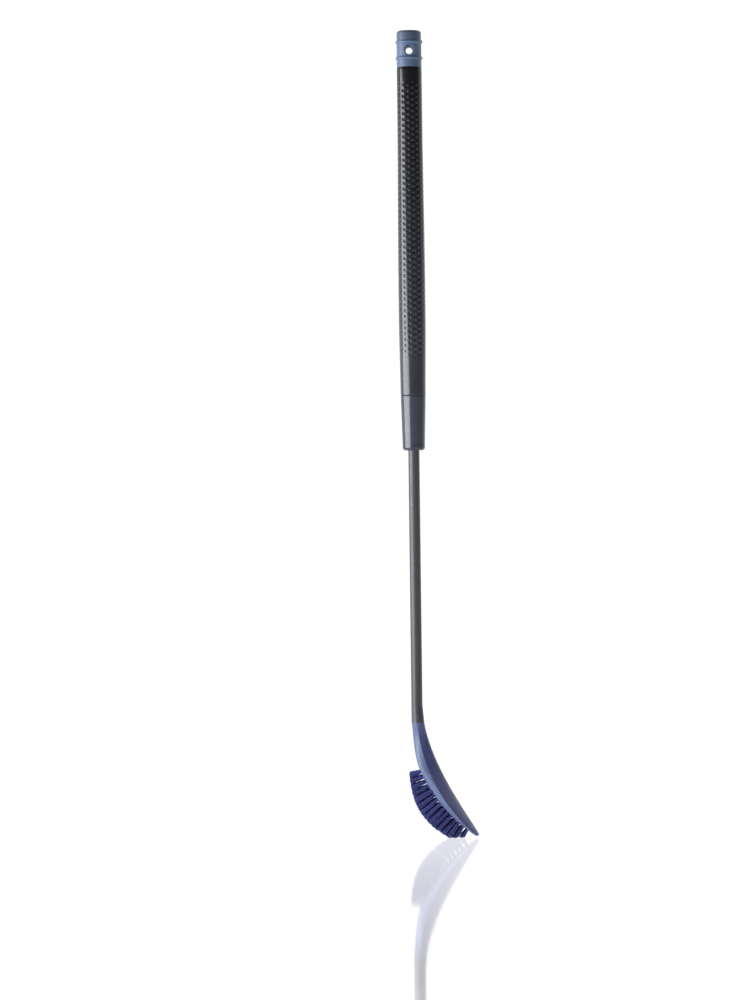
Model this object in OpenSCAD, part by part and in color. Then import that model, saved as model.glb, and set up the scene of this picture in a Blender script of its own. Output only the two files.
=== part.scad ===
// Long-handled curved brush with a telescopic, twist-lock handle.
// Millimetres, +Z up. The brush stands on its tuft tips, bristles towards -X.
// The origin is the centre of the hanging hole, which runs along Y through the end cap.
// The modules draw in heights above the ground, and on_ground() moves them into this frame.

/* [Handle stack, from the ground up] */
// Height of the brush head, from the ground to the neck joint
head_h = 115.5; // [100:0.5:130]
// Visible length of the dark coupler between the head and the shaft
coupler_len = 17; // [12:0.5:22]
// Length of bare shaft with the handle fully extended
bare_shaft = 255; // [250:1:320]
// Length of the lock collar
collar_len = 55; // [52:0.5:60]
// Length of the rubber grip
grip_len = 328; // [310:1:360]
// Length of the end cap
cap_len = 27; // [25:0.5:30]
// Visible length of the plug in the top of the end cap
plug_len = 9.5; // [8:0.5:14]
// Distance from the end cap's top face down to the centre of the hanging hole
hole_drop = 10.5; // [9.5:0.5:12]

/* [Tubes] */
// Outer diameter of the handle tube, under the grip
tube_d = 17; // [17:0.5:18]
// Wall thickness of the handle tube
tube_wall = 1.2; // [1:0.1:1.2]
// Outer diameter of the sliding shaft
shaft_d = 11.2; // [10.6:0.1:11.2]
// Wall thickness of the sliding shaft
shaft_wall = 1; // [0.8:0.1:1.2]
// How far the shaft slides into the handle
travel = 240; // [150:5:240]

/* [Grip and cap] */
// Grip diameter at its top
grip_d_top = 25; // [24.8:0.1:26]
// Grip diameter at its widest
grip_d_max = 26.8; // [26:0.1:28]
// Grip diameter at its foot, and of the lock collar's top
grip_d_foot = 25; // [24:0.1:26]
// Lock collar diameter at its foot
collar_d_foot = 22.4; // [21.5:0.1:23]
// End cap diameter between its beads
cap_d = 24.7; // [24:0.1:26]
// Hanging hole diameter
hole_d = 7; // [5:0.5:7]

/* [Brush head] */
// Half of the head's greatest width
head_half_w = 19.5; // [17:0.5:22]
// Number of tuft rows along the head
rows = 15; // [15:1:15]
// Distance between tufts, along and across
tuft_pitch = 5.35; // [5:0.05:5.5]
// Tuft diameter at its root
tuft_d = 2.8; // [2.4:0.1:3.2]
// Tuft diameter 20 mm out from its root, where its filaments have splayed
tuft_tip_d = 4.7; // [3:0.1:4.7]

/* [Hidden] */
$fn = 64;
EPS = 0.01;
RUN = 0.1;    // radial clearance of a turning or sliding fit
GAP = 0.2;    // end gap between parts that move past each other

// Heights above the ground
coupler_top = head_h + coupler_len;
collar_base = coupler_top + bare_shaft;
collar_top = collar_base + collar_len;
cap_base = collar_top + grip_len;
cap_top = cap_base + cap_len;
hole_h = cap_top - hole_drop;

// Radii
tube_r = tube_d / 2;
tube_bore_r = tube_r - tube_wall;
shaft_r = shaft_d / 2;
shaft_bore_r = shaft_r - shaft_wall;
cap_r = cap_d / 2;
hole_r = hole_d / 2;

// The end cap's hole runs at its full diameter this far to each side of the middle, then widens
HOLE_THROAT = 5;
HOLE_MOUTH = 1.8;    // how much larger the hole's radius is at the cap's surface

// The plug's boss, which sits in a socket in the cap's top
PLUG_BOSS_R = 6;
PLUG_BOSS_H = 3.5;

// The lock's inner parts, by height
collet_flange = 3.5;
collet_top = collar_top + 20;
stop_base = collet_top + GAP;
stop_len = 12;
bush_base = stop_base + stop_len + GAP;
bush_len = 28;
shaft_top = bush_base + bush_len + GAP;
plug_flange = 2;
neck_r = tube_bore_r + 0.3;      // the collet's round neck, which the collar turns on
jaw_tip_r = neck_r - 0.8;
jaw_base = collar_base + 12;
jaw_cone_h = 12;
collar_core_r = 9.5;
nut_base = collar_base + 5.5;
snap_h = collar_top - 9;         // foot of the snap bead that holds the collar on the collet
SNAP_LEN = 2;

// The collar's end ring, with the wiper above its lip
END_RING_LEN = 7.5;
END_RING_LIP = 2;
WIPER_R = 7.5;

// The end cap's spigot in the tube, with the bumper that ends the shaft's travel
bumper_len = 3;
bumper_base = shaft_top + plug_flange + travel + GAP;
spigot_base = bumper_base + bumper_len;

// The coupler's curved tang in the head, and the pin across it
TANG_R = 3.2;
TANG_BEND = 75;
TANG_DROP = 35;
TANG_X = 0.8;
PIN_R = 1.5;
PIN_LEN = 11;
pin_h = head_h - 15.5;
pin_x = TANG_X + TANG_BEND - sqrt(pow(TANG_BEND, 2) - pow(head_h - pin_h, 2));

// The head's side view outlines, as [x, height], from the neck joint down to the tip
BACK_CURVE = [[7.2, head_h], [15, 63.3], [66.5, 0.5], [60.2, 1.7]];
CREASE_CURVE = [[0.6, head_h], [1, 76.3], [27.1, 26.8], [59.8, 1.2]];
THROAT_CURVE = [[-5.6, head_h], [-3.9, 103], [-3.8, 82], [1.9, 68.6]];
TIP_LINE = [[-8.6, 67], [-7.2, 45], [-4, 19.5], [31, 0]];

// The tuft face is one arc from the first tuft to the tip
FACE_C = [145.9, 131];
FACE_R = 157;
FACE_START = 203.4;
FACE_END = 236.3;
THROAT_SHARE = 0.42;    // share of the head's length above the tuft face

// The head seen from the front is a paddle, wide from here to its round end
NECK_HALF_W = 6.4;
PADDLE_FROM = 0.62;

// How full a section of the back is: its depth falls off as this power of the distance from its
// middle. The tuft side goes from round at the neck to flat under the tufts.
BACK_POWER = 2;

// The shells' sections: how many, the angle between their points, and the last one's share
STATIONS = 26;
SECTION_STEP = 12;
SHARE_END = 0.99;

// The cavity in the back shell
CAVITY_FROM = 0.44;
CAVITY_TO = 0.86;
CAVITY_WALL = 2.2;

TUFTS_ACROSS = [3, 4, 5, 5, 6, 6, 6, 6, 6, 6, 6, 5, 5, 4, 3];
STAPLE = 0.6;

module on_ground() translate([0, 0, -hole_h]) children();

// A round part turned about the handle's axis, from a list of [radius, height] points
module turned(points) rotate_extrude() polygon(points);

// A plain ring about the handle's axis
module ring(r_out, r_in, base, len) {
    translate([0, 0, base])
        difference() {
            cylinder(r = r_out, h = len);
            translate([0, 0, -1]) cylinder(r = r_in, h = len + 2);
        }
}

// ---------- end cap ----------

module top_plug() {
    edge_r = 2.6;
    plug_r = cap_r - 0.15;
    color([0.34, 0.42, 0.56])
        on_ground()
            union() {
                translate([0, 0, cap_top])
                    rotate_extrude()
                        union() {
                            square([plug_r, plug_len - edge_r]);
                            square([plug_r - edge_r, plug_len]);
                            translate([plug_r - edge_r, plug_len - edge_r])
                                intersection() {
                                    circle(r = edge_r);
                                    square(edge_r);
                                }
                        }
                translate([0, 0, cap_top - PLUG_BOSS_H]) cylinder(r = PLUG_BOSS_R, h = PLUG_BOSS_H);
            }
}

// The hanging hole: a round throat that widens towards both faces of the cap
module hanging_hole() {
    beyond = 3;
    mouth_len = cap_r - HOLE_THROAT;
    rotate([90, 0, 0])
        union() {
            cylinder(r = hole_r, h = 2 * (cap_r + beyond), center = true);
            for (side = [0, 1])
                mirror([0, 0, side])
                    translate([0, 0, HOLE_THROAT])
                        cylinder(
                            r1 = hole_r,
                            r2 = hole_r + HOLE_MOUTH * (mouth_len + beyond) / mouth_len,
                            h = mouth_len + beyond
                        );
        }
}

module end_cap() {
    bead_r = [1.9, 2.1];
    bead_h = [cap_len - bead_r[0], 9];
    bead_rise = 1.15;
    color([0.47, 0.56, 0.76])
        on_ground()
            difference() {
                union() {
                    translate([0, 0, cap_base])
                        rotate_extrude()
                            union() {
                                square([cap_r, cap_len]);
                                for (i = [0, 1])
                                    translate([cap_r + bead_rise - bead_r[i], bead_h[i]])
                                        circle(r = bead_r[i]);
                            }
                    translate([0, 0, spigot_base]) cylinder(r = tube_bore_r, h = cap_base - spigot_base + 1);
                }
                translate([0, 0, hole_h]) hanging_hole();
                translate([0, 0, cap_top - PLUG_BOSS_H]) cylinder(r = PLUG_BOSS_R, h = PLUG_BOSS_H + 1);
            }
}

module travel_bumper() {
    color("dimgray")
        on_ground()
            translate([0, 0, bumper_base]) cylinder(r = tube_bore_r - 0.8, h = bumper_len);
}

// ---------- grip and handle tube ----------

function smooth(t) = let (u = min(1, max(0, t))) u * u * (3 - 2 * u);

// Grip radius at a share of its length below the top: it swells to a palm bulge low down
function grip_r(s) =
    (grip_d_top + (grip_d_max - grip_d_top) * smooth((s - 0.16) / 0.5)
        - (grip_d_max - grip_d_foot) * smooth((s - 0.76) / 0.26)) / 2;

module grip_sleeve() {
    steps = 28;
    outer = [for (i = [0 : steps]) [grip_r(i / steps), cap_base - grip_len * i / steps]];
    color([0.10, 0.10, 0.12])
        on_ground()
            turned(concat([[tube_r, cap_base]], outer, [[tube_r, collar_top]]));
}

module handle_tube() {
    base = collar_top + collet_flange;
    color("silver")
        on_ground()
            ring(tube_r, tube_bore_r, base, cap_base - base);
}

// ---------- lock ----------

// Split insert bonded in the tube's foot. Turning the collar squeezes its jaws onto the shaft.
module lock_collet() {
    slit_w = 1.4;
    slit_len = 25;
    snap_rise = 0.5;
    color([0.85, 0.85, 0.82])
        on_ground()
            difference() {
                union() {
                    translate([0, 0, collar_top]) cylinder(r = tube_bore_r, h = collet_top - collar_top);
                    translate([0, 0, collar_top]) cylinder(r = tube_r, h = collet_flange);
                    translate([0, 0, jaw_base + jaw_cone_h])
                        cylinder(r = neck_r, h = collar_top - jaw_base - jaw_cone_h);
                    translate([0, 0, jaw_base]) cylinder(r1 = jaw_tip_r, r2 = neck_r, h = jaw_cone_h);
                    translate([0, 0, snap_h]) cylinder(r = neck_r + snap_rise, h = SNAP_LEN);
                }
                translate([0, 0, jaw_base - 1]) cylinder(r = shaft_r + RUN / 2, h = collet_top);
                for (turn = [0, 90])
                    rotate([0, 0, turn + 45])
                        translate([-slit_w / 2, -tube_d, jaw_base - 1])
                            cube([slit_w, 2 * tube_d, slit_len + 1]);
            }
}

// The collar's hard core: runs on the collet's neck, held by a snap bead in its groove
module collar_nut() {
    slack = 0.3;
    groove_depth = 0.8;
    color([0.20, 0.21, 0.24])
        on_ground()
            difference() {
                translate([0, 0, nut_base])
                    cylinder(r = collar_core_r, h = collar_top - GAP - nut_base);
                translate([0, 0, jaw_base + jaw_cone_h])
                    cylinder(r = neck_r + RUN, h = collar_len);
                translate([0, 0, jaw_base - slack])
                    cylinder(r1 = jaw_tip_r + slack, r2 = neck_r + slack, h = jaw_cone_h + slack);
                translate([0, 0, snap_h - slack])
                    cylinder(r = neck_r + groove_depth, h = SNAP_LEN + 2 * slack);
                translate([0, 0, nut_base - 1]) cylinder(r = shaft_r + 0.4, h = collar_len);
            }
}

module collar_cover() {
    top = collar_top - GAP;
    base = collar_base + END_RING_LEN;
    top_r = grip_d_foot / 2 - 0.05;
    color([0.13, 0.14, 0.17])
        on_ground()
            turned([
                [collar_core_r, base], [collar_d_foot / 2 + 0.05, base],
                [top_r, top - 0.8], [top_r - 0.1, top - 0.3], [top_r - 0.35, top],
                [collar_core_r, top]
            ]);
}

module collar_end_ring() {
    corner = 3;
    foot_r = collar_d_foot / 2;
    len = END_RING_LEN;
    color([0.13, 0.14, 0.17])
        on_ground()
            difference() {
                translate([0, 0, collar_base])
                    rotate_extrude()
                        union() {
                            translate([0, corner]) square([foot_r, len - corner]);
                            square([foot_r - corner, len]);
                            translate([foot_r - corner, corner]) circle(r = corner);
                        }
                translate([0, 0, nut_base]) cylinder(r = collar_core_r, h = len);
                translate([0, 0, collar_base + END_RING_LIP]) cylinder(r = WIPER_R, h = len);
                translate([0, 0, collar_base - 1]) cylinder(r = shaft_r + 0.8, h = len);
            }
}

module wiper_ring() {
    color([0.05, 0.05, 0.06])
        on_ground()
            ring(WIPER_R, shaft_r + 0.3, collar_base + END_RING_LIP, nut_base - collar_base - END_RING_LIP);
}

// ---------- sliding shaft ----------

module guide_bush() {
    color([0.92, 0.92, 0.88])
        on_ground()
            ring(tube_bore_r - RUN, shaft_r + RUN / 2, bush_base, bush_len);
}

module shaft_tube() {
    color([0.36, 0.36, 0.38])
        on_ground()
            ring(shaft_r, shaft_bore_r, coupler_top, shaft_top - coupler_top);
}

// Keeps the bush on, and meets the bumper when the handle is fully closed
module shaft_end_plug() {
    depth = 12;
    color([0.20, 0.21, 0.24])
        on_ground()
            union() {
                translate([0, 0, shaft_top]) cylinder(r = tube_bore_r - 0.6, h = plug_flange);
                translate([0, 0, shaft_top - depth]) cylinder(r = shaft_bore_r, h = depth + EPS);
            }
}

// Rests on the collet, so that the shaft can't be pulled out
module stop_sleeve() {
    color([0.92, 0.92, 0.88])
        on_ground()
            ring(tube_bore_r - 0.5, shaft_r, stop_base, stop_len);
}

// ---------- neck ----------

// The curved tang's solid, from the head's joint down towards -Z
module tang() {
    translate([TANG_X + TANG_BEND, 0, head_h])
        rotate([90, 0, 0])
            rotate([0, 0, 180])
                rotate_extrude(angle = asin(TANG_DROP / TANG_BEND))
                    translate([TANG_BEND, 0]) circle(r = TANG_R);
}

module tang_pin_solid() {
    translate([pin_x, 0, pin_h]) rotate([90, 0, 0]) cylinder(r = PIN_R, h = PIN_LEN, center = true);
}

module neck_coupler() {
    foot_x = -0.8;
    lean = atan(foot_x / coupler_len);
    foot_r = 6.4;
    spigot = 32;
    color([0.30, 0.30, 0.32])
        on_ground()
            difference() {
                union() {
                    intersection() {
                        translate([0, 0, coupler_top])
                            rotate([0, lean, 0])
                                translate([0, 0, -2 * coupler_len])
                                    cylinder(r1 = 2 * foot_r - shaft_r, r2 = shaft_r, h = 2 * coupler_len);
                        translate([-20, -20, head_h]) cube([40, 40, coupler_len]);
                    }
                    translate([0, 0, coupler_top - 1]) cylinder(r = shaft_bore_r, h = spigot + 1);
                    tang();
                }
                tang_pin_solid();
            }
}

module tang_pin() {
    color("silver") on_ground() tang_pin_solid();
}

// ---------- brush head ----------

function bezier(p, t) =
    pow(1 - t, 3) * p[0] + 3 * pow(1 - t, 2) * t * p[1] + 3 * (1 - t) * t * t * p[2] + pow(t, 3) * p[3];

function face_at(a) = FACE_C + FACE_R * [cos(a), sin(a)];

// The tuft side's outline at a share of the head's length
function front_at(t) =
    t < THROAT_SHARE
        ? bezier(THROAT_CURVE, t / THROAT_SHARE)
        : face_at(FACE_START + (FACE_END - FACE_START) * (t - THROAT_SHARE) / (1 - THROAT_SHARE));

function half_w(t) =
    (NECK_HALF_W + (head_half_w - NECK_HALF_W) * smooth((t - 0.08) / 0.6))
        * (t < PADDLE_FROM ? 1 : sqrt(max(0, 1 - pow((t - PADDLE_FROM) / (1 - PADDLE_FROM), 2.4))));

function front_power(t) = 2.2 + 4.8 * smooth((t - 0.1) / 0.35);

// Share of the full depth at a share s of the half width. The neck's first section is round, to
// meet the coupler, and the sides soon rise to a crease.
function depth_share(t, s, p) =
    let (creased = smooth(t / 0.12))
    (1 - creased) * sqrt(max(0, 1 - s * s)) + creased * (1 - pow(abs(s), p));

// A point of a shell's section at t: angle 0 is its middle, +-90 the crease. wall insets it
// for a cavity, whose open side is sunk past the crease.
function shell_point(t, outer, a, p, wall) =
    let (
        rim = bezier(CREASE_CURVE, t),
        thick = norm(outer - rim),
        out = (outer - rim) / thick,
        sink = wall > 0 ? 1 : 0,
        reach = (thick - wall + sink) * depth_share(t, sin(a), p) - sink
    )
    [rim[0] + out[0] * reach, (half_w(t) - wall) * sin(a), rim[1] + out[1] * reach];

// A closed solid through sections that all have the same number of points
module lofted(sections) {
    m = len(sections[0]);
    n = len(sections);
    sides = [for (i = [0 : n - 2], j = [0 : m - 1])
        let (k = (j + 1) % m)
        [i * m + j, (i + 1) * m + j, (i + 1) * m + k, i * m + k]];
    triangles = [for (q = sides) each [[q[0], q[2], q[1]], [q[0], q[3], q[2]]]];
    first = [for (j = [1 : m - 2]) [0, j + 1, j]];
    last = [for (j = [1 : m - 2]) [(n - 1) * m, (n - 1) * m + j, (n - 1) * m + j + 1]];
    polyhedron([for (s = sections) each s], concat(triangles, first, last));
}

// Stations crowd towards the tip, where the outline turns fastest
function station(i, from, to) = from + (to - from) * (1 - pow(1 - i / STATIONS, 1.35));

module shell(side, from = 0, to = SHARE_END, wall = 0) {
    lofted([for (i = [0 : STATIONS])
        let (t = station(i, from, to))
        [for (a = [-90 : SECTION_STEP : 90])
            side > 0
                ? shell_point(t, bezier(BACK_CURVE, t), a, BACK_POWER, wall)
                : shell_point(t, front_at(t), -a, front_power(t), wall)]]);
}

// A row's place along the tuft face, how steeply its tufts point down, and how deep they are set
function tuft_angle(i) = FACE_START + 0.9 + i * tuft_pitch / FACE_R * 180 / PI;
function tuft_dip(i) = 15 + 40 * i / (rows - 1);
function hole_depth(i) = 4.4 - 2.2 * i / (rows - 1);

// Puts a row's tuft axes on the tuft face: children point out along +Z from the face
module on_row(i) {
    p = face_at(tuft_angle(i));
    n = TUFTS_ACROSS[i];
    for (k = [0 : n - 1])
        translate([p[0], (k - (n - 1) / 2) * tuft_pitch, p[1]])
            rotate([0, -90 - tuft_dip(i), 0]) children();
}

// The tufts are trimmed to one curve, and flat where they meet the ground
module trim_volume() {
    steps = 14;
    outline = concat(
        [for (s = [0 : steps]) bezier(TIP_LINE, s / steps)],
        [[58, 0], [64, 60], [20, 76], [-8.6, 76]]
    );
    translate([0, 25, 0]) rotate([90, 0, 0]) linear_extrude(50) polygon(outline);
}

module tuft_row(i) {
    depth = hole_depth(i) - STAPLE;
    reach = 34;
    color([0.16, 0.18, 0.42])
        on_ground()
            intersection() {
                on_row(i)
                    union() {
                        translate([0, 0, -depth]) cylinder(d = tuft_d, h = depth + 1);
                        cylinder(d1 = tuft_d, d2 = tuft_d + (tuft_tip_d - tuft_d) * reach / 20, h = reach);
                    }
                trim_volume();
            }
}

// Wire staples that pin the folded tufts at the bottoms of their holes
module tuft_anchors() {
    color("gold")
        on_ground()
            for (i = [0 : rows - 1])
                on_row(i)
                    translate([-0.5, -1.1, -hole_depth(i)]) cube([1, 2.2, STAPLE]);
}

module head_front_shell() {
    color([0.50, 0.58, 0.80])
        on_ground()
            difference() {
                shell(-1);
                tang();
                tang_pin_solid();
                for (i = [0 : rows - 1])
                    on_row(i)
                        translate([0, 0, -hole_depth(i)]) cylinder(d = tuft_d, h = hole_depth(i) + 6);
            }
}

module head_back_shell() {
    color([0.30, 0.34, 0.50])
        on_ground()
            difference() {
                shell(1);
                shell(1, from = CAVITY_FROM, to = CAVITY_TO, wall = CAVITY_WALL);
                tang();
                tang_pin_solid();
            }
}

top_plug();
end_cap();
grip_sleeve();
handle_tube();
lock_collet();
travel_bumper();
guide_bush();
collar_nut();
collar_cover();
collar_end_ring();
wiper_ring();
shaft_tube();
shaft_end_plug();
stop_sleeve();
neck_coupler();
tang_pin();
head_front_shell();
head_back_shell();
tuft_anchors();
tuft_row(0);  // tuft_row_01
tuft_row(1);  // tuft_row_02
tuft_row(2);  // tuft_row_03
tuft_row(3);  // tuft_row_04
tuft_row(4);  // tuft_row_05
tuft_row(5);  // tuft_row_06
tuft_row(6);  // tuft_row_07
tuft_row(7);  // tuft_row_08
tuft_row(8);  // tuft_row_09
tuft_row(9);  // tuft_row_10
tuft_row(10);  // tuft_row_11
tuft_row(11);  // tuft_row_12
tuft_row(12);  // tuft_row_13
tuft_row(13);  // tuft_row_14
tuft_row(14);  // tuft_row_15
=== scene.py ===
"""Looks of the long-handled curved brush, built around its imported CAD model."""

import math

import bpy
import numpy as np
from mathutils import Matrix, Vector


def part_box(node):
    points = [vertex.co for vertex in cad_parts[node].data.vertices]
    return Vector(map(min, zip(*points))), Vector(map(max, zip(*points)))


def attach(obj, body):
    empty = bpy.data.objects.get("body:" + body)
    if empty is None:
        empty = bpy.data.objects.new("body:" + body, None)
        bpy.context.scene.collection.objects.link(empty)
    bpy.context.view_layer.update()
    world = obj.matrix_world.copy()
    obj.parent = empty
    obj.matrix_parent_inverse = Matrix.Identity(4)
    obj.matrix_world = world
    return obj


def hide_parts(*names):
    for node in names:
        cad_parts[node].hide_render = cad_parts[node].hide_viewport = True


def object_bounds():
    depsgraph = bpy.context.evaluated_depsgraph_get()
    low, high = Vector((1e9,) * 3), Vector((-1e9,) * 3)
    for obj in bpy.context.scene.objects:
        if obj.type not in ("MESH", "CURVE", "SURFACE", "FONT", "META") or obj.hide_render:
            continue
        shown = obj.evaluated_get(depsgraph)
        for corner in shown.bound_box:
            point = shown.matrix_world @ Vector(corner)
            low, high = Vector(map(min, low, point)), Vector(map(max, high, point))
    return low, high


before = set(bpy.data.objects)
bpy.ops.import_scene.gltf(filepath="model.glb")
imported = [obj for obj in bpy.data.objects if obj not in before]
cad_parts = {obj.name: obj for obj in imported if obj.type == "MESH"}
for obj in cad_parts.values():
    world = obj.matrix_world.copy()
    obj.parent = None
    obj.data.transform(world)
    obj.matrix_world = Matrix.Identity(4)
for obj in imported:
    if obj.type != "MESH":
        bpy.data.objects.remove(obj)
cad_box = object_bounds()

MM = 0.001
GROUND = cad_box[0].z
DIMPLE_PAINTED_SHADE = (6, 6, 8)                # painted shade: what a dimple darkens to, in display values
DIMPLE_MARK, DIMPLE_ROUGH = 0.5, 0.7    # how far that painted shade and the dulling go, and the roughness it goes towards
WEAR_WIDTH = 0.5                        # how far in from an edge it is rubbed, in mm
WEAR_STARTS, WEAR_FULL = 0.02, 0.25     # how far the rounded normal has turned, as 1 - cosine
rng = np.random.default_rng(7)


# ---------- node helpers ----------

def new_material(name):
    """An empty material with one Principled shader: (material, tree, shader)."""
    mat = bpy.data.materials.new(name)
    mat.use_nodes = True
    tree = mat.node_tree
    tree.nodes.clear()
    shader = tree.nodes.new("ShaderNodeBsdfPrincipled")
    out = tree.nodes.new("ShaderNodeOutputMaterial")
    tree.links.new(shader.outputs["BSDF"], out.inputs["Surface"])
    return mat, tree, shader


def noise(tree, size_mm, detail=2.0, stretch=(1, 1, 1)):
    """Noise in the part's own space, its features about size_mm and drawn out along the axes by
    stretch."""
    coords = tree.nodes.new("ShaderNodeTexCoord")
    mapping = tree.nodes.new("ShaderNodeMapping")
    mapping.inputs["Scale"].default_value = [1 / s for s in stretch]
    tex = tree.nodes.new("ShaderNodeTexNoise")
    tex.inputs["Scale"].default_value = 1 / (size_mm * MM)
    tex.inputs["Detail"].default_value = detail
    tree.links.new(coords.outputs["Object"], mapping.inputs["Vector"])
    tree.links.new(mapping.outputs["Vector"], tex.inputs["Vector"])
    return tex.outputs["Fac"]


def remap(tree, value, lo, hi, out_lo, out_hi):
    """A value moved from the range lo to hi into out_lo to out_hi, and held within it."""
    node = tree.nodes.new("ShaderNodeMapRange")
    node.inputs["From Min"].default_value = lo
    node.inputs["From Max"].default_value = hi
    node.inputs["To Min"].default_value = out_lo
    node.inputs["To Max"].default_value = out_hi
    tree.links.new(value, node.inputs["Value"])
    return node.outputs["Result"]


def colour_input(tree, socket, colour):
    """Feeds a colour, given as a tuple or as another node's output, to a socket."""
    if isinstance(colour, tuple):
        socket.default_value = (*colour, 1)
    else:
        tree.links.new(colour, socket)


def mixed(tree, factor, a, b):
    """Colour a where factor is 0, and colour b where it is 1."""
    node = tree.nodes.new("ShaderNodeMix")
    node.data_type = "RGBA"
    tree.links.new(factor, node.inputs["Factor"])
    colour_input(tree, node.inputs["A"], a)
    colour_input(tree, node.inputs["B"], b)
    return node.outputs["Result"]


def bumped(tree, height, depth_mm, strength, normal=None):
    """A normal bumped by height, on top of another bumped normal where one is given."""
    node = tree.nodes.new("ShaderNodeBump")
    node.inputs["Distance"].default_value = depth_mm * MM
    node.inputs["Strength"].default_value = strength
    tree.links.new(height, node.inputs["Height"])
    if normal is not None:
        tree.links.new(normal, node.inputs["Normal"])
    return node.outputs["Normal"]


def edge_mask(tree):
    """Near 1 on edges that handling rubs: where the rounded normal leaves the true one."""
    bevel = tree.nodes.new("ShaderNodeBevel")
    bevel.samples = 4
    bevel.inputs["Radius"].default_value = WEAR_WIDTH * MM
    geometry = tree.nodes.new("ShaderNodeNewGeometry")
    dot = tree.nodes.new("ShaderNodeVectorMath")
    dot.operation = "DOT_PRODUCT"
    tree.links.new(bevel.outputs["Normal"], dot.inputs[0])
    tree.links.new(geometry.outputs["Normal"], dot.inputs[1])
    return remap(tree, dot.outputs["Value"], 1 - WEAR_STARTS, 1 - WEAR_FULL, 0, 1)


def srgb(r, g, b):
    """A colour in 0-255 display values, as the linear values that a shader takes."""
    return tuple(((c / 255 + 0.055) / 1.055) ** 2.4 if c > 10 else c / 255 / 12.92
                 for c in (r, g, b))


# ---------- materials ----------

def moulded_plastic(name, dark, light, rough=(0.34, 0.46), worn=None):
    """Injection-moulded plastic: faint flow mottling, fine spark-eroded grain, and, where worn is
    given, edges rubbed to that colour."""
    mat, tree, shader = new_material(name)
    mottle = remap(tree, noise(tree, 14, 3), 0.35, 0.65, 0, 1)
    colour = mixed(tree, mottle, dark, light)
    if worn is not None:
        colour = mixed(tree, remap(tree, edge_mask(tree), 0, 1, 0, 0.35), colour, worn)
    tree.links.new(colour, shader.inputs["Base Color"])
    scuffs = noise(tree, 4, 3, (1, 1, 3))
    tree.links.new(remap(tree, scuffs, 0.35, 0.65, *rough), shader.inputs["Roughness"])
    grain = bumped(tree, noise(tree, 0.7, 1), 0.03, 0.05)
    tree.links.new(bumped(tree, noise(tree, 12, 1), 0.1, 0.1, grain), shader.inputs["Normal"])
    shader.inputs["IOR"].default_value = 1.5
    return mat


def brushed_metal(name, dark, light, metallic, rough):
    """Drawn tube or turned metal: fine streaks along its length in colour and bump, and smudges
    in roughness."""
    mat, tree, shader = new_material(name)
    streaks = noise(tree, 0.35, 3, (1, 1, 40))
    colour = mixed(tree, remap(tree, streaks, 0.3, 0.7, 0, 1), dark, light)
    tree.links.new(colour, shader.inputs["Base Color"])
    smudges = noise(tree, 11, 3, (1, 1, 2.5))
    tree.links.new(remap(tree, smudges, 0.3, 0.7, *rough), shader.inputs["Roughness"])
    tree.links.new(bumped(tree, streaks, 0.01, 0.15), shader.inputs["Normal"])
    shader.inputs["Metallic"].default_value = metallic
    return mat


def rubber(name, dark, light, rough, painted_top_shade=None):
    """Moulded rubber: a close-grained satin skin with faint dusty patches, dull where the mesh is
    marked as a dimple and darkened there with painted shade for the recess. The last argument,
    as (colour, height above, height below), darkens it towards its top end with painted shade,
    where less fill light reaches."""
    mat, tree, shader = new_material(name)
    patches = remap(tree, noise(tree, 18, 4, (1, 1, 2)), 0.4, 0.7, 0, 1)
    specks = remap(tree, noise(tree, 0.6, 2), 0.62, 0.72, 0, 0.3)
    colour = mixed(tree, specks, mixed(tree, patches, dark, light), light)
    # painted shade: darker towards the top end, where the fill light from the floor falls off
    if painted_top_shade is not None:
        coords = tree.nodes.new("ShaderNodeTexCoord")
        split = tree.nodes.new("ShaderNodeSeparateXYZ")
        tree.links.new(coords.outputs["Object"], split.inputs[0])
        shade, above, below = painted_top_shade
        colour = mixed(tree, remap(tree, split.outputs["Z"], below, above, 0, 1), colour, shade)
    marked = tree.nodes.new("ShaderNodeAttribute")
    marked.attribute_name = "dimple"
    shade_and_dull = remap(tree, marked.outputs["Fac"], 0, 1, 0, DIMPLE_MARK)
    # painted shade: the colour darkens inside the dimples, where the recess would be shaded
    tree.links.new(mixed(tree, shade_and_dull, colour, srgb(*DIMPLE_PAINTED_SHADE)), shader.inputs["Base Color"])
    skin = remap(tree, noise(tree, 4, 3, (1, 1, 2)), 0.35, 0.65, *rough)
    dull = tree.nodes.new("ShaderNodeMix")
    dull.inputs["B"].default_value = DIMPLE_ROUGH
    tree.links.new(shade_and_dull, dull.inputs["Factor"])
    tree.links.new(skin, dull.inputs["A"])
    tree.links.new(dull.outputs["Result"], shader.inputs["Roughness"])
    tree.links.new(bumped(tree, noise(tree, 0.8, 1), 0.02, 0.04), shader.inputs["Normal"])
    shader.inputs["IOR"].default_value = 1.5
    return mat


def bristle_nylon(name, dark, mid, light):
    """Nylon filaments: each its own shade, with a soft gloss along its length."""
    mat, tree, shader = new_material(name)
    geometry = tree.nodes.new("ShaderNodeNewGeometry")
    island = geometry.outputs["Random Per Island"]
    colour = mixed(tree, remap(tree, island, 0, 0.8, 0, 1), dark, mid)
    colour = mixed(tree, remap(tree, island, 0.8, 1, 0, 0.8), colour, light)
    colour = mixed(tree, remap(tree, noise(tree, 5, 2), 0.4, 0.7, 0, 0.5), colour, mid)
    tree.links.new(colour, shader.inputs["Base Color"])
    skin = remap(tree, noise(tree, 0.8, 2), 0.3, 0.7, 0.28, 0.45)
    tree.links.new(skin, shader.inputs["Roughness"])
    ridges = bumped(tree, noise(tree, 0.25, 2, (1, 1, 3)), 0.01, 0.3)
    tree.links.new(ridges, shader.inputs["Normal"])
    shader.inputs["IOR"].default_value = 1.53
    shader.inputs["Sheen Weight"].default_value = 0.15
    shader.inputs["Sheen Roughness"].default_value = 0.4
    return mat


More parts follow.
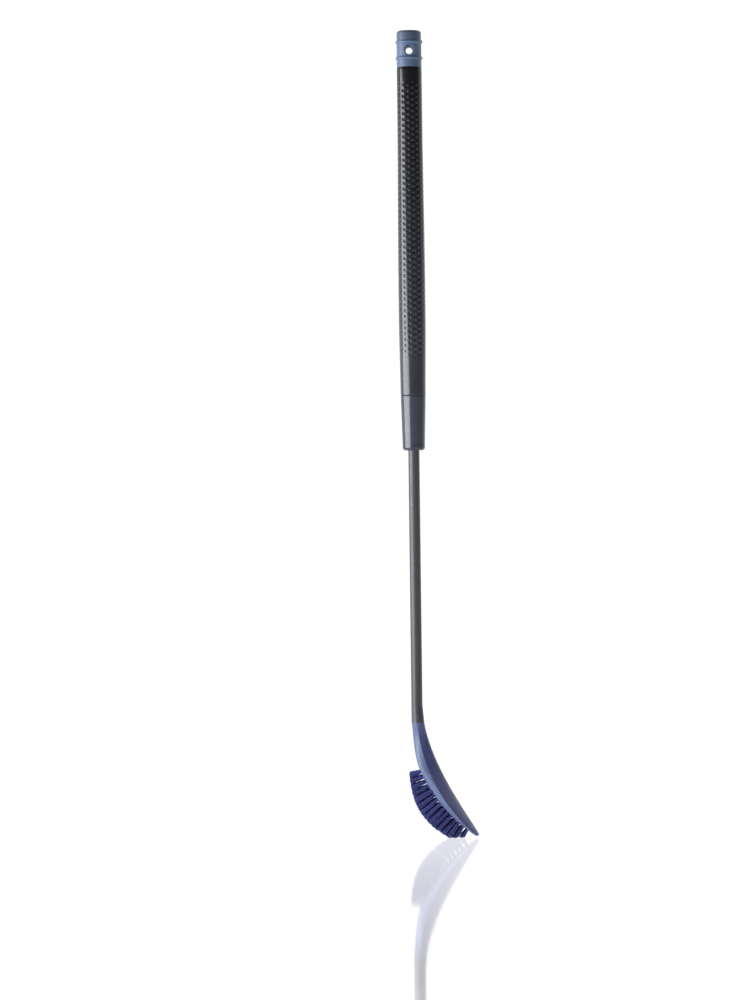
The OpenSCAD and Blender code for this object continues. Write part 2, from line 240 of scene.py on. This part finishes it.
MATERIALS = {
    "plug_blue": moulded_plastic("plug_blue", srgb(66, 79, 103), srgb(75, 88, 112),
                                 worn=srgb(112, 124, 146)),
    "cap_blue": moulded_plastic("cap_blue", srgb(74, 93, 122), srgb(83, 103, 132),
                                worn=srgb(116, 134, 160)),
    # the grip gets painted shade towards its top, in place of fill light that falls off with height
    "grip_rubber": rubber("grip_rubber", srgb(44, 47, 58), srgb(52, 55, 66), (0.2, 0.26),
                          painted_top_shade=(srgb(13, 13, 16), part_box("grip_sleeve")[1].z,
                                     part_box("grip_sleeve")[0].z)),
    "tube_aluminium": brushed_metal("tube_aluminium", srgb(176, 178, 182), srgb(205, 207, 210),
                                    1.0, (0.25, 0.4)),
    "lock_nylon": moulded_plastic("lock_nylon", srgb(222, 220, 210), srgb(235, 233, 224),
                                  (0.4, 0.5)),
    "bumper_rubber": rubber("bumper_rubber", srgb(28, 28, 30), srgb(44, 44, 46), (0.5, 0.65)),
    "collar_core": moulded_plastic("collar_core", srgb(44, 46, 52), srgb(54, 56, 62)),
    "collar_rubber": moulded_plastic("collar_rubber", srgb(47, 51, 66), srgb(53, 57, 72),
                                     (0.2, 0.25), srgb(72, 76, 88)),
    "shaft_metal": brushed_metal("shaft_metal", srgb(62, 61, 66), srgb(70, 69, 74),
                                 0.0, (0.36, 0.42)),
    "coupler_metal": moulded_plastic("coupler_metal", srgb(60, 59, 66), srgb(68, 67, 74),
                                     (0.38, 0.44), srgb(90, 90, 98)),
    "pin_steel": brushed_metal("pin_steel", srgb(170, 170, 172), srgb(200, 200, 202),
                               1.0, (0.2, 0.35)),
    "head_light": moulded_plastic("head_light", srgb(84, 97, 132), srgb(91, 104, 139),
                                  worn=srgb(118, 130, 160)),
    "head_dark": moulded_plastic("head_dark", srgb(74, 83, 134), srgb(82, 91, 142),
                                 worn=srgb(102, 111, 156)),
    "staple_brass": brushed_metal("staple_brass", srgb(170, 138, 76), srgb(198, 166, 100),
                                  1.0, (0.25, 0.4)),
    "tuft_nylon": bristle_nylon("tuft_nylon", srgb(48, 56, 116), srgb(67, 76, 146),
                                srgb(106, 115, 174)),
}


def finish_with(obj, slot):
    """Gives a new piece, or a carried-over CAD node, one of the finishes above."""
    obj.data.materials.clear()
    obj.data.materials.append(MATERIALS[slot])


# ---------- mesh helpers ----------

def new_piece(name, verts, faces, body, slot, *replaced, sharp_deg=35):
    """A mesh piece, its corners given in metres, that rides on a body in place of CAD nodes."""
    mesh = bpy.data.meshes.new(name)
    mesh.from_pydata([tuple(v) for v in verts], [], faces)
    mesh.validate()
    mesh.shade_smooth()
    mesh.set_sharp_from_angle(angle=math.radians(sharp_deg))
    obj = bpy.data.objects.new(name, mesh)
    bpy.context.scene.collection.objects.link(obj)
    finish_with(obj, slot)
    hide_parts(*replaced)
    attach(obj, body)
    return obj


def smooth(t):
    """An even rise from 0 at t = 0 to 1 at t = 1."""
    t = np.clip(t, 0, 1)
    return t * t * (3 - 2 * t)


# ---------- grip ----------

# Lengths are in mm.
GRIP_COLUMNS = 16       # dimples around
CELL_SIDE = 4           # edges along one side of a dimple's cell
DIMPLE_PITCH = 5.8
DIMPLES_FROM = 14.0     # from the grip's top down to the first dimple
DIMPLE_ROWS = 48
DIMPLE_RINGS = [(1.35, 0.0), (1.15, 0.06), (0.9, 0.22), (0.55, 0.34)]    # radius, depth
DIMPLE_FLOOR = 0.38     # depth at the middle
MARK_GAIN = 1.4         # how much faster than the depth a dimple's painted shade and dulling come up
FOOT_FADE = 15          # the height over which the dimples rise from nothing at the grip's foot
FOOT_FADE_SHIFT = 2     # how far below the lowest cells that height starts
TOP_FADE = 14           # the height over which they deepen below the grip's top
TOP_DEPTH = 0.25        # how deep they are there, as a share
GRIP_EDGE_R = 0.7       # rounding of the grip's top edge
BORE_GAP = 0.02         # between the bore and the handle tube


def grip_profile():
    """The CAD grip's heights in the part's frame and its outer radius at each, in mm."""
    co = np.array([v.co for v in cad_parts["grip_sleeve"].data.vertices]) / MM
    radius = np.hypot(co[:, 0], co[:, 1])
    heights = np.unique(np.round(co[:, 2], 3))
    outer = [radius[np.abs(co[:, 2] - h) < 0.01].max() for h in heights]
    return heights, np.array(outer)


def make_grip():
    """The grip: columns of square cells, staggered by half a cell and with a round dimple in
    each, then plain skin above and below them, round both ends and down the bore."""
    heights, outer = grip_profile()
    bottom, top = heights[0], heights[-1]
    around = GRIP_COLUMNS * CELL_SIDE
    step = DIMPLE_PITCH / CELL_SIDE
    dimple_top = top - DIMPLES_FROM
    lattice_rows = DIMPLE_ROWS * CELL_SIDE
    dimple_bottom = dimple_top - lattice_rows * step
    verts, faces, lattice, shade_and_dull = [], [], {}, []

    def radius_at(z):
        return float(np.interp(z, heights, outer))

    def point(theta, z, depth=0.0):
        r = radius_at(z) - depth
        verts.append((r * math.cos(theta) * MM, r * math.sin(theta) * MM, z * MM))
        shade_and_dull.append(0.0)
        return len(verts) - 1

    def corner(row, i):
        i %= around
        if (row, i) not in lattice:
            lattice[row, i] = point(2 * math.pi * i / around, dimple_top - row * step)
        return lattice[row, i]

    def plain(row, i):
        """One square of the lattice, where a column has no dimple."""
        faces.append((corner(row, i), corner(row + 1, i),
                      corner(row + 1, i + 1), corner(row, i + 1)))

    def dimple(row, i):
        """One round dimple in the cell whose upper left corner is at (row, i)."""
        n = CELL_SIDE
        border = ([(row + k, i) for k in range(n)] + [(row + n, i + k) for k in range(n)]
                  + [(row + n - k, i + n) for k in range(n)] + [(row, i + n - k) for k in range(n)])
        mid_z = dimple_top - (row + n / 2) * step
        mid_theta = 2 * math.pi * (i + n / 2) / around
        r = radius_at(mid_z)
        fade = (smooth((mid_z - dimple_bottom + FOOT_FADE_SHIFT) / FOOT_FADE)
                * (TOP_DEPTH + (1 - TOP_DEPTH) * smooth((dimple_top - mid_z) / TOP_FADE)))
        previous = [corner(*b) for b in border]
        angles = [math.atan2((row + n / 2 - b_row) * step,
                             (b_i - i - n / 2) * 2 * math.pi * r / around)
                  for b_row, b_i in border]
        for ring_r, depth in DIMPLE_RINGS:
            ring = [point(mid_theta + ring_r * math.cos(a) / r, mid_z + ring_r * math.sin(a),
                          depth * fade) for a in angles]
            for k in range(4 * n):
                m = (k + 1) % (4 * n)
                faces.append((previous[k], previous[m], ring[m], ring[k]))
                shade_and_dull[ring[k]] = fade * min(1.0, depth / DIMPLE_FLOOR * MARK_GAIN)
            previous = ring
        centre = point(mid_theta, mid_z, DIMPLE_FLOOR * fade)
        shade_and_dull[centre] = fade
        for k in range(4 * n):
            faces.append((previous[k], previous[(k + 1) % (4 * n)], centre))

    for column in range(GRIP_COLUMNS):
        i = column * CELL_SIDE
        first = 0 if column % 2 == 0 else CELL_SIDE // 2
        for row in list(range(first)) + list(range(lattice_rows - first, lattice_rows)):
            for k in range(CELL_SIDE):
                plain(row, i + k)
        for row in range(first, lattice_rows - first, CELL_SIDE):
            dimple(row, i)

    def ring(z, depth=0.0, radius=None):
        """A ring of points at a height: depth under the outer surface, or at a radius."""
        if radius is not None:
            depth = radius_at(z) - radius
        return [point(2 * math.pi * i / around, z, depth) for i in range(around)]

    def join(rings):
        for upper, lower in zip(rings, rings[1:]):
            for i in range(around):
                k = (i + 1) % around
                faces.append((upper[i], lower[i], lower[k], upper[k]))

    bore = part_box("handle_tube")[1].x / MM + BORE_GAP
    # From the bore over the rounded top edge to the first lattice row, then from the last one down
    # to the foot and back to the bore
    corner_steps = [(GRIP_EDGE_R * (1 - math.sin(a)), GRIP_EDGE_R * (1 - math.cos(a)))
                    for a in np.radians([0, 22.5, 45, 67.5, 90])]
    upper = [ring(top, radius=bore)] + [ring(top - v, d) for d, v in corner_steps]
    upper += [ring(z) for z in np.linspace(top - 3, dimple_top + 3, 5)]
    first_row = [corner(0, i) for i in range(around)]
    last_row = [corner(lattice_rows, i) for i in range(around)]
    join(upper + [first_row])
    foot = [ring(z) for z in np.linspace(dimple_bottom - 3, bottom + 1, 10)]
    foot += [ring(bottom + v, d) for d, v in [(0.0, 0.15), (0.05, 0.05), (0.15, 0.0)]]
    foot += [ring(bottom, radius=bore)]
    join([last_row] + foot)
    join([foot[-1], upper[0]])
    grip = new_piece("grip_sleeve_dimpled", verts, faces, "handle", "grip_rubber", "grip_sleeve",
                     sharp_deg=50)
    # this dimple mark drives the rubber's painted shade and its duller roughness
    marks = grip.data.attributes.new("dimple", "FLOAT", "POINT")
    marks.data.foreach_set("value", shade_and_dull)


# ---------- brush head: its curves as [x, height above the ground], in mm ----------

HEAD_H = 115.5
BACK_CURVE = np.array([[7.2, HEAD_H], [15, 63.3], [66.5, 0.5], [60.2, 1.7]])
CREASE_CURVE = np.array([[0.6, HEAD_H], [1, 76.3], [27.1, 26.8], [59.8, 1.2]])
THROAT_CURVE = np.array([[-5.6, HEAD_H], [-3.9, 103], [-3.8, 82], [1.9, 68.6]])
TIP_LINE = np.array([[-8.6, 67], [-7.2, 45], [-4, 19.5], [31, 0]])
FACE_C, FACE_R = np.array([145.9, 131]), 157.0
FACE_START, FACE_END = 203.4, 236.3
# Shares run from 0 at the neck to 1 at the tip
THROAT_SHARE = 0.42     # where the throat curve hands over to the tuft face
SHARE_END = 0.99
NECK_HALF_W, HEAD_HALF_W = 6.4, 19.5
WIDENS_FROM, WIDENS_OVER = 0.08, 0.6    # where the width starts growing, and over what share
PADDLE_FROM, PADDLE_POWER = 0.62, 2.4   # where it starts rounding to the tip, and how fully
STATIONS, STATION_POWER = 96, 1.35      # sections along the head, and how they crowd at the tip
ACROSS = 48                             # edges across one section
SEAM_W, SEAM_D = 0.28, 0.16             # the parting line between the shells, in mm
BACK_POWER = 2.0                        # how square the sections are: 2 is a parabola
THROAT_POWER, FACE_POWER = 2.2, 7.0
FLATTENS_FROM, FLATTENS_OVER = 0.1, 0.35        # the shares where the throat turns into the face
CREASED_BY = 0.12                       # the share where the round neck has turned into a crease
CREASE_GAP = 0.02                       # how far each shell stays off the crease, in mm


def bezier(p, t):
    """The point at share t of a cubic curve with the control points p."""
    return ((1 - t) ** 3 * p[0] + 3 * (1 - t) ** 2 * t * p[1] + 3 * (1 - t) * t * t * p[2]
            + t ** 3 * p[3])


def face_at(deg):
    """A point of the tuft face, which is an arc, at an angle in degrees."""
    a = math.radians(deg)
    return FACE_C + FACE_R * np.array([math.cos(a), math.sin(a)])


def front_at(t):
    """The outline on the tuft side: the throat, then the face."""
    if t < THROAT_SHARE:
        return bezier(THROAT_CURVE, t / THROAT_SHARE)
    return face_at(FACE_START + (FACE_END - FACE_START) * (t - THROAT_SHARE) / (1 - THROAT_SHARE))


def half_w(t):
    """Half of the head's width."""
    w = NECK_HALF_W + (HEAD_HALF_W - NECK_HALF_W) * float(smooth((t - WIDENS_FROM) / WIDENS_OVER))
    if t < PADDLE_FROM:
        return w
    return w * math.sqrt(max(0.0, 1 - ((t - PADDLE_FROM) / (1 - PADDLE_FROM)) ** PADDLE_POWER))


def make_shell(name, side, slot, node):
    """One half of the head, on the back (side 1) or the tuft side (side -1) of the crease."""
    verts, faces = [], []
    shares = [SHARE_END * (1 - (1 - i / STATIONS) ** STATION_POWER) for i in range(STATIONS + 1)]
    for t in shares:
        rim = bezier(CREASE_CURVE, t)
        outer = bezier(BACK_CURVE, t) if side > 0 else front_at(t)
        power = BACK_POWER
        if side < 0:
            flat = float(smooth((t - FLATTENS_FROM) / FLATTENS_OVER))
            power = THROAT_POWER + (FACE_POWER - THROAT_POWER) * flat
        thick = np.linalg.norm(outer - rim)
        out = (outer - rim) / thick
        creased = float(smooth(t / CREASED_BY))
        w = half_w(t)
        for j in range(ACROSS + 1):
            a = math.radians(-90 + 180 * j / ACROSS)
            s = math.sin(a)
            depth = (1 - creased) * math.cos(a) + creased * (1 - abs(s) ** power)
            reach = thick * depth
            # the parting line: the shell's edge is drawn in a little, so that a fine seam shows
            pinch = SEAM_D * max(0.0, 1 - reach / SEAM_W) if thick > 1 else 0.0
            y = s * (w - pinch)
            p = rim + out * max(reach, CREASE_GAP)
            verts.append((p[0] * MM, y * MM, GROUND + p[1] * MM))
    row = ACROSS + 1
    for i in range(STATIONS):
        for j in range(ACROSS):
            a, b = i * row + j, i * row + j + 1
            quad = (a, b, b + row, a + row)
            faces.append(quad if side > 0 else quad[::-1])
        # the parting face, across the opening
        a, b = i * row, i * row + ACROSS
        quad = (b, a, a + row, b + row)
        faces.append(quad if side > 0 else quad[::-1])
    top = tuple(range(ACROSS, -1, -1))
    tip = tuple(STATIONS * row + j for j in range(ACROSS + 1))
    faces += [top, tip] if side > 0 else [top[::-1], tip[::-1]]
    new_piece(name, verts, faces, "shaft", slot, node, sharp_deg=55)


# ---------- tufts ----------

# Lengths are in mm.
ROWS = 15
TUFT_PITCH = 5.35
TUFTS_ACROSS = [3, 4, 5, 5, 6, 6, 6, 6, 6, 6, 6, 5, 5, 4, 3]
FIRST_ROW_DEG = 0.9    # from the start of the tuft face to the first row
FIRST_DIP, LAST_DIP = 15, 55    # how far down the tufts point, in degrees
ROW_LEAN = 0.06        # the tufts of a row lean up and down in turn
FILAMENTS = 34         # to a tuft
FILAMENT_R = 0.21
FILAMENT_SIDES, FILAMENT_RINGS = 6, 5
GOLDEN_ANGLE = 2.39996
ROOT_R = 1.4           # radius of a tuft at its hole
ROOT_DEPTH = 1.2       # how far the filaments start below the surface
SPLAY = 0.6            # how much wider a tuft gets once it is clear of its hole, as a share
SPLAY_LEN = 4.0        # the length in which it widens
DOMED = 1.1            # how much shorter the filaments around a tuft are than its middle ones
LOWEST_CENTRE = 0.03   # how close to the ground a filament's centre line comes
# Random spreads, from tuft to tuft and from filament to filament
TUFT_LEAN, TUFT_SHIFT = 0.03, 0.35
TURN, LEAN, BOW, LENGTH, THICKNESS = 0.2, 0.018, 0.35, 0.18, 0.1
BOW_LENGTH = 20        # the filament length at which the bow is as drawn


def trim_length(p, d):
    """How far from p along d, in mm, the tufts are trimmed: to the tip line, and to the ground."""
    line = np.array([bezier(TIP_LINE, t) for t in np.linspace(0, 1, 80)])[::-1]
    shortest, longest, step = 2, 34, 0.05
    s = np.arange(shortest, longest, step)
    x, h = p[0] + s * d[0], p[2] + s * d[2]
    outside = (h < 0) | (x < np.interp(h, line[:, 1], line[:, 0]))
    return float(s[np.argmax(outside)])


def make_tuft_row(i):
    """One row of tufts as separate filaments, trimmed to the tip line and the ground."""
    dip = math.radians(FIRST_DIP + (LAST_DIP - FIRST_DIP) * i / (ROWS - 1))
    face = face_at(FACE_START + FIRST_ROW_DEG + math.degrees(i * TUFT_PITCH / FACE_R))
    out = np.array([-math.cos(dip), 0, -math.sin(dip)])
    across = np.array([0.0, 1.0, 0.0])
    up = np.cross(across, out)
    verts, faces = [], []
    sides, rings = FILAMENT_SIDES, FILAMENT_RINGS
    for k in range(TUFTS_ACROSS[i]):
        root = np.array([face[0], (k - (TUFTS_ACROSS[i] - 1) / 2) * TUFT_PITCH, face[1]])
        tuft_lean = rng.normal(0, TUFT_LEAN, 3) + (ROW_LEAN if k % 2 else -ROW_LEAN) * up
        root += rng.normal(0, TUFT_SHIFT) * up
        for f in range(FILAMENTS):
            spread = ROOT_R * math.sqrt((f + 0.5) / FILAMENTS)
            turn = f * GOLDEN_ANGLE + rng.uniform(-TURN, TURN)
            offset = spread * (math.cos(turn) * across + math.sin(turn) * up)
            lean = tuft_lean + rng.normal(0, LEAN, 3)
            bow = rng.normal(0, BOW, 3)
            direction = out + lean
            length = (trim_length(root + offset * (1 + SPLAY), direction) + rng.normal(0, LENGTH)
                      - DOMED * (spread / ROOT_R) ** 3)
            r = FILAMENT_R * rng.uniform(1 - THICKNESS, 1 + THICKNESS)
            start = len(verts)
            for q in range(rings + 1):
                u = q / rings
                s = -ROOT_DEPTH + (length + ROOT_DEPTH) * u
                wider = SPLAY * (1 - math.exp(-max(s, 0) / SPLAY_LEN))
                centre = (root + offset * (1 + wider) + direction * s
                          + bow * (u * u - u) * max(length, 1) / BOW_LENGTH)
                centre[2] = max(centre[2], LOWEST_CENTRE)
                for m in range(sides):
                    a = 2 * math.pi * m / sides
                    v = centre + r * (math.cos(a) * across + math.sin(a) * up)
                    verts.append((v[0] * MM, v[1] * MM, GROUND + max(v[2], 0.0) * MM))
            for q in range(rings):
                for m in range(sides):
                    a, b = start + q * sides + m, start + q * sides + (m + 1) % sides
                    faces.append((a, b, b + sides, a + sides))
            faces.append(tuple(start + m for m in range(sides))[::-1])
            faces.append(tuple(start + rings * sides + m for m in range(sides)))
    new_piece(f"tuft_row_{i + 1:02d}_filaments", verts, faces, "shaft", "tuft_nylon",
              f"tuft_row_{i + 1:02d}", sharp_deg=65)


# ---------- the object ----------

SLOT_OF_NODE = {
    "top_plug": "plug_blue", "end_cap": "cap_blue", "handle_tube": "tube_aluminium",
    "lock_collet": "lock_nylon", "travel_bumper": "bumper_rubber", "guide_bush": "lock_nylon",
    "collar_nut": "collar_core", "collar_cover": "collar_rubber",
    "collar_end_ring": "collar_rubber", "wiper_ring": "bumper_rubber",
    "shaft_tube": "shaft_metal", "shaft_end_plug": "collar_core", "stop_sleeve": "lock_nylon",
    "neck_coupler": "coupler_metal", "tang_pin": "pin_steel", "tuft_anchors": "staple_brass",
}
for node_name, slot_name in SLOT_OF_NODE.items():
    finish_with(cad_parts[node_name], slot_name)

make_grip()
make_shell("head_front_shell_moulded", -1, "head_light", "head_front_shell")
make_shell("head_back_shell_moulded", 1, "head_dark", "head_back_shell")
for row_index in range(ROWS):
    make_tuft_row(row_index)


# ---------- camera ----------

SENSOR_MM, LENS_MM = 36, 154.8
EYE_X, EYE_Y, EYE_H = -0.03945, -4.3, 0.3384    # in metres, the last above the ground
ROLL_DEG = -0.7

camera_data = bpy.data.cameras.new("camera")
camera = bpy.data.objects.new("camera", camera_data)
bpy.context.scene.collection.objects.link(camera)
bpy.context.scene.camera = camera
camera_data.sensor_width = SENSOR_MM
camera_data.lens = LENS_MM
camera_data.clip_end = 100
eye = Vector((EYE_X, EYE_Y, GROUND + EYE_H))
level = Matrix.Rotation(math.radians(90), 4, "X")
roll = Matrix.Rotation(math.radians(ROLL_DEG), 4, "Z")
camera.matrix_world = Matrix.Translation(eye) @ level @ roll


# ---------- studio, in metres ----------

FLOOR_R = 24.0
FLOOR_GAP = 0.0002              # between the floor and the tuft tips
FLOOR_GLOW, PLAIN_GLOW = 1.42, 1.06     # emission of the polished strip and of the rest
FLOOR_ROUGH = 0.055
STRIP_X, STRIP_Y = 0.025, -0.75         # centre of the polished strip
STRIP_FADE_X = (0.05, 0.15)             # from the centre, where it starts and ends fading
STRIP_FADE_Y = (0.85, 1.2)
BAND_Y, BAND_HALF = -1.25, 1.15         # where along it the polish is highest, and how far it falls
POLISH_HIGH, POLISH_LOW = 0.66, 0.44    # the glossy share there and at the far ends
DIM_SIDE, BRIGHT_SIDE = 0.06, 1.08      # the world on the camera's side and behind the object
TURN_FROM, TURN_TO = -0.2, 0.5          # the directions' Y between which it goes over
SEEN_WHITE = 1.02                       # the world as the camera sees it
KEY_DISTANCE, KEY_AZIMUTH = 1.3, -67    # of the soft box, in metres and in degrees
KEY_W, KEY_H = 0.68, 1.5
KEY_RADIANCE = 9.6
KEY_Z, KEY_AIM_Z = -0.35, -0.4


def off_centre(tree, coordinate, centre):
    """How far a coordinate is from a centre."""
    shifted = tree.nodes.new("ShaderNodeMath")
    shifted.inputs[1].default_value = -centre
    tree.links.new(coordinate, shifted.inputs[0])
    size = tree.nodes.new("ShaderNodeMath")
    size.operation = "ABSOLUTE"
    tree.links.new(shifted.outputs[0], size.inputs[0])
    return size.outputs[0]


def make_floor():
    """A glossy white floor that shows the object's reflection and no shadow."""
    mesh = bpy.data.meshes.new("studio_floor")
    n = 64
    ring = [(FLOOR_R * math.cos(2 * math.pi * k / n), FLOOR_R * math.sin(2 * math.pi * k / n),
             GROUND - FLOOR_GAP) for k in range(n)]
    mesh.from_pydata(ring, [], [tuple(range(n))])
    floor = bpy.data.objects.new("studio_floor", mesh)
    bpy.context.scene.collection.objects.link(floor)
    mat = bpy.data.materials.new("studio_floor")
    mat.use_nodes = True
    tree = mat.node_tree
    tree.nodes.clear()
    glow = tree.nodes.new("ShaderNodeEmission")
    glow.inputs["Color"].default_value = (0.93, 0.93, 1, 1)
    glow.inputs["Strength"].default_value = FLOOR_GLOW
    gloss = tree.nodes.new("ShaderNodeBsdfGlossy")
    gloss.inputs["Roughness"].default_value = FLOOR_ROUGH
    coords = tree.nodes.new("ShaderNodeTexCoord")
    split = tree.nodes.new("ShaderNodeSeparateXYZ")
    tree.links.new(coords.outputs["Object"], split.inputs[0])
    mix = tree.nodes.new("ShaderNodeMixShader")
    # more polish in a band in front of the object, where the reflection is darkest
    from_band = off_centre(tree, split.outputs["Y"], BAND_Y)
    polish = remap(tree, from_band, 0, BAND_HALF, POLISH_HIGH, POLISH_LOW)
    tree.links.new(polish, mix.inputs["Fac"])
    tree.links.new(glow.outputs[0], mix.inputs[1])
    tree.links.new(gloss.outputs[0], mix.inputs[2])
    # plain white beyond a strip under the object and in front of it
    far = tree.nodes.new("ShaderNodeEmission")
    far.inputs["Strength"].default_value = PLAIN_GLOW
    outside = tree.nodes.new("ShaderNodeMath")
    outside.operation = "MAXIMUM"
    from_x = off_centre(tree, split.outputs["X"], STRIP_X)
    from_y = off_centre(tree, split.outputs["Y"], STRIP_Y)
    tree.links.new(remap(tree, from_x, *STRIP_FADE_X, 0, 1), outside.inputs[0])
    tree.links.new(remap(tree, from_y, *STRIP_FADE_Y, 0, 1), outside.inputs[1])
    blend = tree.nodes.new("ShaderNodeMixShader")
    tree.links.new(outside.outputs[0], blend.inputs["Fac"])
    tree.links.new(mix.outputs[0], blend.inputs[1])
    tree.links.new(far.outputs[0], blend.inputs[2])
    out = tree.nodes.new("ShaderNodeOutputMaterial")
    tree.links.new(blend.outputs[0], out.inputs["Surface"])
    mesh.materials.append(mat)


def make_world():
    """White behind the object, dim on the camera's side, and plain white to the eye."""
    world = bpy.data.worlds.new("studio")
    bpy.context.scene.world = world
    world.use_nodes = True
    tree = world.node_tree
    tree.nodes.clear()
    coords = tree.nodes.new("ShaderNodeTexCoord")
    split = tree.nodes.new("ShaderNodeSeparateXYZ")
    tree.links.new(coords.outputs["Generated"], split.inputs[0])
    side = remap(tree, split.outputs["Y"], TURN_FROM, TURN_TO, DIM_SIDE, BRIGHT_SIDE)
    seen = tree.nodes.new("ShaderNodeBackground")
    seen.inputs["Strength"].default_value = SEEN_WHITE
    seen.inputs["Color"].default_value = (1, 1, 1, 1)
    light = tree.nodes.new("ShaderNodeBackground")
    light.inputs["Color"].default_value = (0.98, 0.98, 1, 1)
    tree.links.new(side, light.inputs["Strength"])
    path = tree.nodes.new("ShaderNodeLightPath")
    mix = tree.nodes.new("ShaderNodeMixShader")
    out = tree.nodes.new("ShaderNodeOutputWorld")
    tree.links.new(path.outputs["Is Camera Ray"], mix.inputs[0])
    tree.links.new(light.outputs[0], mix.inputs[1])
    tree.links.new(seen.outputs[0], mix.inputs[2])
    tree.links.new(mix.outputs[0], out.inputs["Surface"])


def make_key():
    """A tall soft box on the left, whose reflection is the bright strip down the handle."""
    azimuth = math.radians(KEY_AZIMUTH)
    light = bpy.data.lights.new("key", "AREA")
    light.shape = "RECTANGLE"
    light.size = KEY_W
    light.size_y = KEY_H
    area = light.size * light.size_y
    light.energy = KEY_RADIANCE * math.pi * area
    light.color = (0.96, 0.97, 1)
    key = bpy.data.objects.new("key", light)
    bpy.context.scene.collection.objects.link(key)
    key.location = (KEY_DISTANCE * math.sin(azimuth), -KEY_DISTANCE * math.cos(azimuth), KEY_Z)
    aim = Vector((0, 0, KEY_AIM_Z)) - key.location
    key.rotation_euler = aim.to_track_quat("-Z", "Z").to_euler()
    key.visible_camera = False


make_floor()
make_world()
make_key()
bpy.context.scene.view_settings.view_transform = "Standard"
bpy.context.scene.view_settings.look = "None"
